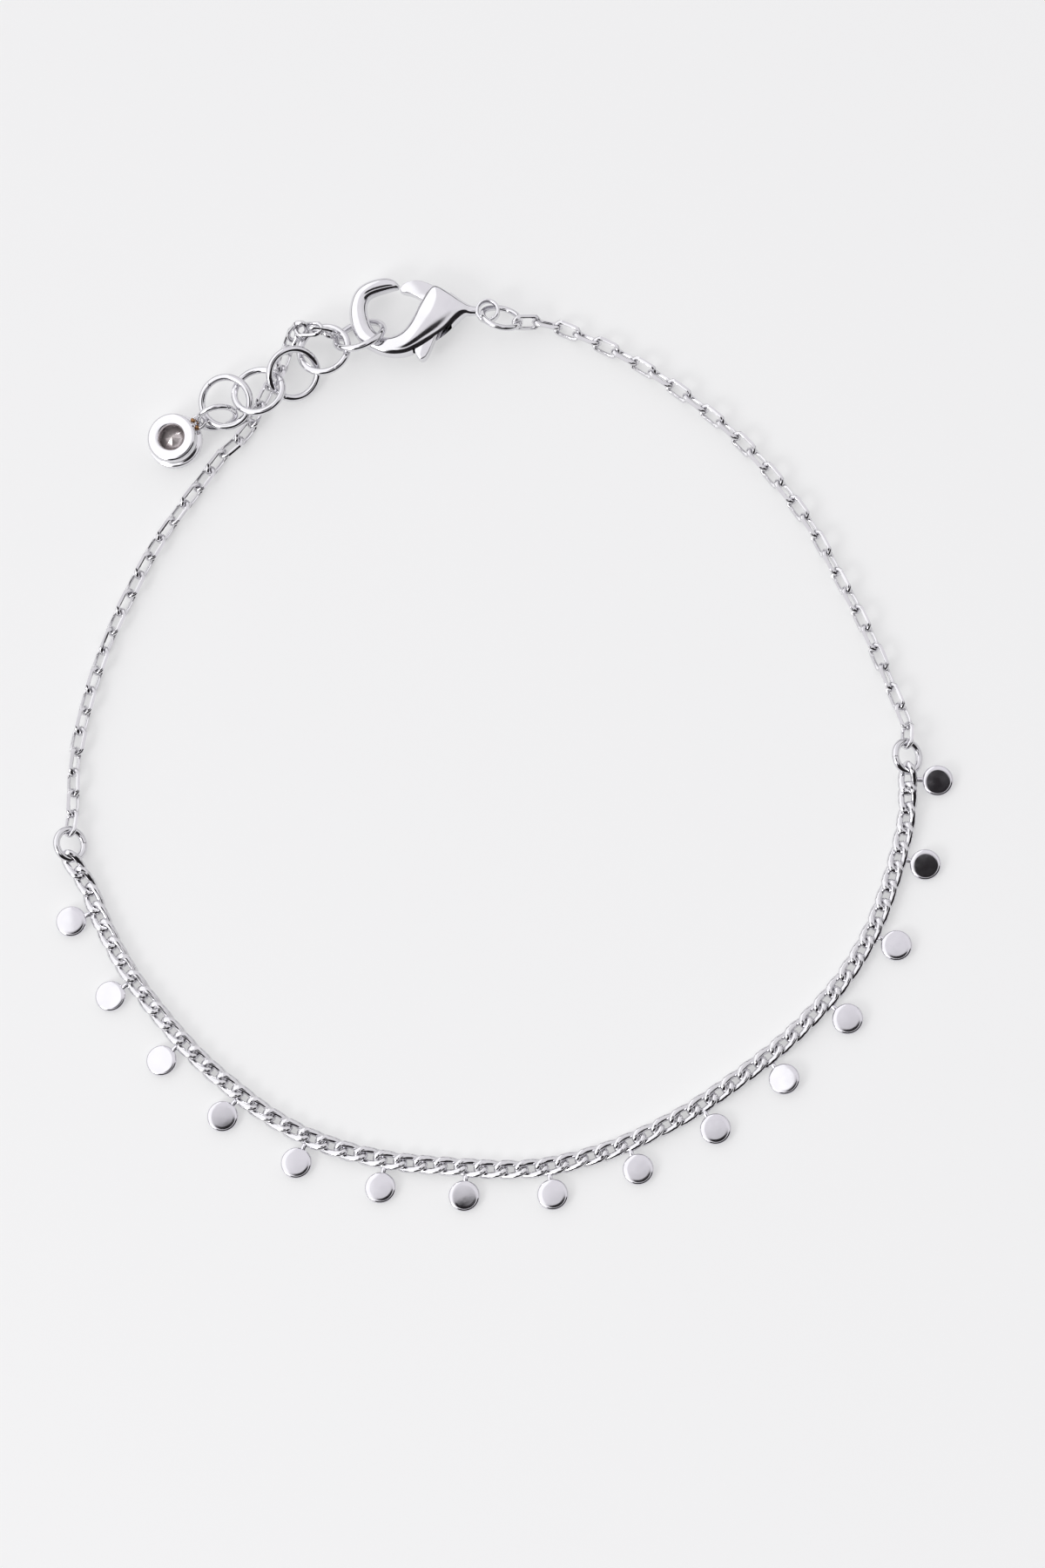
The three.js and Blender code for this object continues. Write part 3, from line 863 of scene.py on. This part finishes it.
@dataclass
class Clasp:
    """The lobster clasp: a casting of claw, neck and eye, and the sprung lever in its slot."""

    pivot: Place = (-4.57, 30.8, 1.25)
    sides: int = 28           # of the claw's section, before it is rounded
    between: int = 4          # steps from one given section to the next
    slot_thickness: float = 1.1
    lever_thickness: float = 0.9
    pin_radius: float = 0.3
    hole_radius: float = 0.38
    eye: Pair = (3.44, -0.15)
    eye_outer: float = 0.84
    eye_inner: float = 0.6
    eye_height: float = 0.64
    collar: Pair = (0.31, 0.13)     # radius and half length
    collar_place: Place = (2.24, -0.1, 0.0)
    steps: int = 48           # of the eye's full turn
    pin_grip: float = 0.2     # how far the pin runs into the casting on each side
    lever_edge: float = 0.14  # radius of the lever's rounded edges
    lever_outline: tuple[Pair, ...] = (
        (-2.42, 1.32), (-1.90, 1.18), (-1.28, 0.88), (-0.86, 0.40), (-0.80, -0.30), (-1.15, -1.30),
        (-1.58, -2.60), (-1.50, -3.20), (-1.12, -3.60), (-0.78, -3.42), (-0.38, -2.60), (0.12, -1.30),
        (0.66, -0.45), (0.78, 0.20), (0.66, 0.85), (0.30, 1.38), (-0.42, 1.78), (-1.15, 2.08),
        (-1.80, 2.12), (-2.34, 1.90), (-2.58, 1.62), (-2.62, 1.50),
    )
    slot_outline: tuple[Pair, ...] = (
        (-2.30, 3.2), (-2.30, 1.0), (-1.95, -0.2), (-1.42, -0.75), (-1.68, -2.4), (-1.68, -3.9),
        (1.45, -3.6), (1.02, -1.6), (0.92, -0.3), (0.92, 0.9), (0.75, 3.2),
    )

    @property
    def place(self) -> Matrix:
        """The clasp's place from a frame with the pivot at its origin."""
        return Matrix.Translation(self.pivot)

    def sections(self) -> list[Vector]:
        """Puts smooth sections in between the given ones of the claw.

        Returns:
            All the sections, each as one row of numbers.
        """
        rows = [section.row for section in CLAW]
        rows = [2 * rows[0] - rows[1], *rows, 2 * rows[-1] - rows[-2]]
        filled = []
        for i in range(1, len(rows) - 2):
            p0, p1, p2, p3 = rows[i - 1:i + 3]
            for k in range(self.between):
                t = k / self.between
                filled.append(0.5 * (2 * p1 + (p2 - p0) * t + (2 * p0 - 5 * p1 + 4 * p2 - p3) * t ** 2
                                     + (3 * p1 - p0 - 3 * p2 + p3) * t ** 3))
        return [*filled, rows[-2]]

    def claw(self) -> Mesh:
        """Skins the sections and closes both ends.

        Returns:
            The claw, solid.
        """
        bm = bmesh.new()
        loops = []
        for x0, y0, x1, y1, half, squareness in self.sections():
            ring = bmesh.ops.create_circle(bm, segments=self.sides, radius=1.0, cap_ends=False)["verts"]
            outer, inner = Vector((x0, y0, 0)), Vector((x1, y1, 0))
            for vert in ring:
                across, up = (math.copysign(abs(c) ** (2 / squareness), c) for c in vert.co.xy)
                vert.co = outer.lerp(inner, (1 - across) / 2) + Vector((0, 0, half * up))
            loops.append(edges_of(ring))
        for near, far in zip(loops, loops[1:]):
            bmesh.ops.bridge_loops(bm, edges=near + far)
        bmesh.ops.holes_fill(bm, edges=open_edges(bm), sides=0)
        bmesh.ops.recalc_face_normals(bm, faces=bm.faces)
        return bm

    def casting(self) -> None:
        """Makes the claw, its eye and the pivot pin as one casting."""
        bm = carved(self.claw(), plate(self.slot_outline, self.slot_thickness, 0), 2)
        top, soft = self.eye_height / 2, (self.eye_outer - self.eye_inner) / 2
        arc = [math.radians(a) for a in range(0, 181, 30)]
        middle = (self.eye_outer + self.eye_inner) / 2
        upper = [(middle + soft * math.cos(a), top - soft + soft * math.sin(a)) for a in arc]
        eye = spun_profile([*upper, *[(x, -z) for x, z in reversed(upper)]], self.steps)
        moved_in(bm, eye, Matrix.Translation((*self.eye, 0)))
        r, half = self.collar
        side = [(0, half), (r - 0.06, half), (r - 0.02, half - 0.02), (r, half - 0.06)]
        collar = spun_profile([*[(x, -z) for x, z in side], *reversed(side)], 32)
        moved_in(bm, collar, Matrix.Translation(self.collar_place) @ Matrix.Rotation(math.pi / 2, 4, "Y"))
        moved_in(bm, post(self.pin_radius, self.slot_thickness + 2 * self.pin_grip), Matrix())
        bmesh.ops.transform(bm, matrix=self.place, verts=bm.verts)
        show_piece(bm, "clasp_casting", Finish.CASTING, ["clasp_body"], sharp_deg=40)

    def lever(self) -> None:
        """Makes the lever: a rounded plate with the hole for the pin."""
        bm = carved(plate(rounded(self.lever_outline, 2), self.lever_thickness, self.lever_edge),
                    post(self.hole_radius, 2 * self.lever_thickness))
        bmesh.ops.transform(bm, matrix=self.place, verts=bm.verts)
        show_piece(bm, "clasp_lever_plate", Finish.CASTING, ["clasp_lever"], body="clasp_lever")

    def build(self) -> None:
        """Makes both parts of the clasp."""
        self.casting()
        self.lever()


# ---------------- end drop
@dataclass
class EndDrop:
    """The bezel cup that lies with its open back up, its loop and its stone."""

    base: Place = (-22.78, 22.2, 0.22)
    lean: float = 6.0             # degrees out of level
    high: float = 22.0            # bearing of the side that comes up
    loop_towards: float = 31.0    # bearing of the loop
    radius: float = 1.72
    rim_radius: float = 1.9       # of the wider lower rim
    bore: float = 1.28            # radius of the stone's seat
    loop_radius: float = 0.44
    loop_wire: float = 0.26
    loop_height: float = 1.0
    loop_reach: float = 2.12
    mill: int = 40                # notches of the milled lower rim
    mill_depth: float = 0.035
    bead: float = 0.19            # radius of a bead of solder
    bead_place: Place = (0.11, 0.3, 0.06)     # off the cup's side and the loop
    girdle: float = 1.2           # radius of the stone
    facets: int = 16
    stone_base: float = 0.28      # height of the stone's table
    crown: tuple[Pair, ...] = ((0.72, 0.0), (1.0, 0.34), (1.0, 0.4))
    pavilion: Pair = (0.55, 0.78)     # as in the crown, a part of the girdle and a height
    tip: float = 1.12

    @property
    def place(self) -> Matrix:
        """The drop's place from a frame with its axis along Z and its loop along X."""
        return (Matrix.Translation(self.base) @ leaning(self.lean, self.high)
                @ Matrix.Rotation(math.radians(self.loop_towards), 4, "Z"))

    def cup(self) -> None:
        """Turns the cup, mills its lower rim and solders on the loop."""
        big, rim, bore = self.radius, self.rim_radius, self.bore
        profile = [
            (1.18, 0.06), (1.24, 0.0), (rim - 0.12, 0.0), (rim - 0.04, 0.03), (rim, 0.1), (rim, 0.3),
            (rim, 0.44), (rim - 0.04, 0.51), (rim - 0.12, 0.56), (rim - 0.22, 0.59), (big - 0.1, 0.6),
            (big - 0.16, 0.64), (big - 0.17, 0.7), (big - 0.15, 0.77), (big - 0.06, 0.83),
            (big - 0.01, 0.88), (big, 0.95), (big, 1.36), (big - 0.03, 1.47), (big - 0.09, 1.55),
            (big - 0.17, 1.59), (big - 0.25, 1.6), (1.05, 1.6), (0.97, 1.58), (0.92, 1.52), (0.9, 1.42),
            (0.9, 1.3), (bore, 0.85), (bore, 0.26), (1.18, 0.2),
        ]
        bm = spun_profile(profile, self.mill * 4)
        for vert in bm.verts:
            if vert.co.z < 0.5 and vert.co.xy.length > rim - 0.03:
                wave = math.cos(self.mill * math.atan2(vert.co.y, vert.co.x))
                vert.co.xy *= 1 - self.mill_depth * (1 - wave) / 2 / rim
        loop = bent_wire(self.loop_radius, self.loop_wire, 12, 40)
        moved_in(bm, loop, Matrix.Translation((self.loop_reach, 0, self.loop_height)))
        bmesh.ops.transform(bm, matrix=self.place, verts=bm.verts)
        show_piece(bm, "end_drop_cup", Finish.CASTING, ["end_drop"], sharp_deg=32)

    def solder(self) -> None:
        """Lays the two beads of solder where the loop meets the cup."""
        bm = bmesh.new()
        out, aside, above = self.bead_place
        for side in (1, -1):
            place = Matrix.Translation((self.radius + out, side * aside, self.loop_height + above))
            bmesh.ops.create_icosphere(bm, subdivisions=2, radius=self.bead,
                                       matrix=place @ Matrix.Diagonal((0.8, 1.1, 0.9, 1)))
        bmesh.ops.transform(bm, matrix=self.place, verts=bm.verts)
        show_piece(bm, "drop_solder", Finish.SOLDER, [])

    def stone(self) -> None:
        """Cuts the stone: table down, crown, girdle, and a pointed pavilion that faces up."""
        bm = bmesh.new()
        levels = [(*level, self.facets, 0.0) for level in self.crown]
        levels.append((*self.pavilion, self.facets // 2, math.pi / self.facets))
        rings = []
        for part, height, count, turn in levels:
            place = Matrix.Translation((0, 0, self.stone_base + height)) @ Matrix.Rotation(turn, 4, "Z")
            ring = bmesh.ops.create_circle(bm, segments=count, radius=self.girdle * part, cap_ends=False,
                                           matrix=place)["verts"]
            rings.append(edges_of(ring))
        for near, far in zip(rings, rings[1:]):
            bmesh.ops.bridge_loops(bm, edges=near + far)
        bmesh.ops.holes_fill(bm, edges=rings[0], sides=0)
        cap = bmesh.ops.holes_fill(bm, edges=rings[-1], sides=0)["faces"]
        for vert in bmesh.ops.poke(bm, faces=cap)["verts"]:
            vert.co.z = self.stone_base + self.tip
        bmesh.ops.transform(bm, matrix=self.place, verts=bm.verts)
        show_piece(bm, "drop_stone", Finish.STONE, ["drop_crystal"], sharp_deg=5)

    def build(self) -> None:
        """Makes the cup, its solder and its stone."""
        self.cup()
        self.solder()
        self.stone()


# ---------------- studio
@dataclass
class Studio:
    """The pale floor, the light tent and the camera."""

    tilt: float = 15.0            # of the camera from straight above
    swing: float = 22.0           # of the camera round from the near side
    distance: float = 0.42        # metres
    lens: float = 142.8
    sensor: float = 36.0
    aim: Place = (1.2, -2.7, 0.5)     # where the camera looks, in the routes' frame
    floor_size: float = 8.0       # metres
    floor_colour: str = "B6B6B6"
    floor_glow: float = 0.435
    key_place: Place = (-0.30, -0.24, 0.27)     # metres
    key_size: float = 0.14        # side of its square front, in metres
    key_power: float = 0.5        # watts
    left_wall: Colour = (1.3, 1.3, 1.31, 1)
    right_wall: Colour = (0.82, 0.815, 0.83, 1)
    roof: Colour = (0.92, 0.905, 0.935, 1)
    shade: Colour = (0.7, 0.69, 0.71, 1)
    dark: Colour = (0.02, 0.018, 0.02, 1)
    skirting: Colour = (0.07, 0.068, 0.072, 1)
    backdrop: Colour = (0.86, 0.86, 0.87, 1)
    stand_bearing: Place = (0.45, -0.893, 0.0)   # of whoever is at the near side
    head_place: Place = (0.07, -0.2, 0.977)      # the way to their head

    def floor(self) -> None:
        """Lays the floor that the bracelet rests on."""
        bm = bmesh.new()
        bmesh.ops.create_grid(bm, x_segments=2, y_segments=2, size=self.floor_size / 2)
        mesh = bpy.data.meshes.new("floor")
        bm.to_mesh(mesh)
        bm.free()
        mesh.materials.append(MattAcrylic("matt_acrylic_sheet", self.floor_colour, self.floor_glow).build())
        floor = bpy.data.objects.new("floor", mesh)
        bpy.context.scene.collection.objects.link(floor)

    def tent(self) -> None:
        """Makes the light tent: white to the left, lilac overhead, and whoever stands at the near side."""
        world = bpy.data.worlds.new("light_tent")
        world.use_nodes = True
        tree = world.node_tree
        tree.nodes.clear()
        way = add_node(tree, "ShaderNodeTexCoord").outputs["Generated"]
        parts = add_node(tree, "ShaderNodeSeparateXYZ", inputs={"Vector": way}).outputs
        level = add_node(tree, "ShaderNodeVectorMath", {"operation": "MULTIPLY"}, {0: way, 1: (1, 1, 0)})
        bearing = add_node(tree, "ShaderNodeVectorMath", {"operation": "NORMALIZE"},
                           {0: level.outputs["Vector"]})
        facing = add_node(tree, "ShaderNodeVectorMath", {"operation": "DOT_PRODUCT"}, {
            0: bearing.outputs["Vector"], 1: self.stand_bearing}).outputs["Value"]
        head = add_node(tree, "ShaderNodeVectorMath", {"operation": "DISTANCE"}, {
            0: way, 1: self.head_place}).outputs["Value"]
        # Each layer is a colour with its soft edges: a value, where it starts, and where it is full.
        layers = (
            (self.roof, (parts["X"], -0.17, -0.13)),
            (self.right_wall, (parts["X"], 0.25, 0.8)),
            (self.shade, (head, 0.34, 0.25)),
            (self.dark, (head, 0.25, 0.225)),
            (self.dark, (facing, 0.46, 0.6), (parts["Z"], 0.84, 0.77)),
            (self.skirting, (parts["Z"], 0.2, 0.14)),
        )
        walls = self.left_wall
        for colour, *edges in layers:
            cover = 1.0
            for value, begin, full in edges:
                cover = add_node(tree, "ShaderNodeMapRange", {"interpolation_type": "SMOOTHSTEP"}, {
                    "Value": value, "From Min": begin, "From Max": full,
                    "To Max": cover}).outputs["Result"]
            walls = add_node(tree, "ShaderNodeMix", {"data_type": "RGBA"}, {
                0: cover, 6: walls, 7: colour}).outputs[2]
        # Beyond the floor's edge the camera sees an even backdrop; the metal still mirrors the tent.
        seen = add_node(tree, "ShaderNodeLightPath").outputs["Is Camera Ray"]
        shown = add_node(tree, "ShaderNodeMix", {"data_type": "RGBA"}, {
            0: seen, 6: walls, 7: self.backdrop}).outputs[2]
        light = add_node(tree, "ShaderNodeBackground", inputs={"Color": shown, "Strength": 1.0})
        add_node(tree, "ShaderNodeOutputWorld", inputs={"Surface": light.outputs["Background"]})
        bpy.context.scene.world = world

    def lamp(self) -> None:
        """Hangs the soft lamp that faces the bracelet."""
        data = bpy.data.lights.new("key_left", "AREA")
        data.size, data.energy = self.key_size, self.key_power
        lamp = bpy.data.objects.new("key_left", data)
        lamp.location = self.key_place
        lamp.rotation_euler = (-lamp.location).to_track_quat("-Z", "Y").to_euler()
        bpy.context.scene.collection.objects.link(lamp)

    def camera(self) -> None:
        """Sets the camera above the near side, looking down."""
        t, s = math.radians(self.tilt), math.radians(self.swing)
        back = Vector((math.sin(t) * math.sin(s), -math.sin(t) * math.cos(s), math.cos(t)))
        upward = (Vector((0, 1, 0)) - back * back.y).normalized()
        turn = Matrix((upward.cross(back), upward, back)).transposed().to_4x4()
        data = bpy.data.cameras.new("camera")
        data.lens, data.sensor_width, data.sensor_fit = self.lens, self.sensor, "AUTO"
        data.clip_start, data.clip_end = 0.02, 20.0
        camera = bpy.data.objects.new("camera", data)
        camera.matrix_world = Matrix.Translation(TO_FRAME @ Vector(self.aim) + back * self.distance) @ turn
        bpy.context.scene.collection.objects.link(camera)
        bpy.context.scene.camera = camera

    def build(self) -> None:
        """Sets up the whole studio."""
        self.floor()
        self.tent()
        self.lamp()
        self.camera()
        bpy.context.scene.view_settings.view_transform = "Standard"


# ---------------- the bracelet
def cable_chains() -> list[CableChain]:
    """Lays out the two cable chains, each from ring to ring.

    Returns:
        The right chain and the left one.
    """
    right = [RINGS["clasp_ring"].wire_point(-10), *route_points(CABLE_RIGHT_ROUTE, CABLE_LIE),
             RINGS["curb_ring_right"].wire_point(90)]
    left = [RINGS["curb_ring_left"].wire_point(90), *route_points(CABLE_LEFT_ROUTE, CABLE_LIE),
            RINGS["extender_ring_1"].wire_point(160)]
    return [CableChain("cable_chain_right", Route(right), 38.0, -50.0, 1.49),
            CableChain("cable_chain_left", Route(left), -30.0, 58.0, 1.45, slack=4.6)]


def main() -> None:
    """Builds the studio and every piece."""
    logging.basicConfig(level=logging.INFO, format="%(name)s %(message)s")
    Studio().build()
    chain = CurbChain()
    chain.build()
    Coins(chain).build()
    for ring in RINGS.values():
        ring.build()
    for cable in cable_chains():
        cable.build()
    Clasp().build()
    EndDrop().build()


if __name__ == "__main__":
    main()
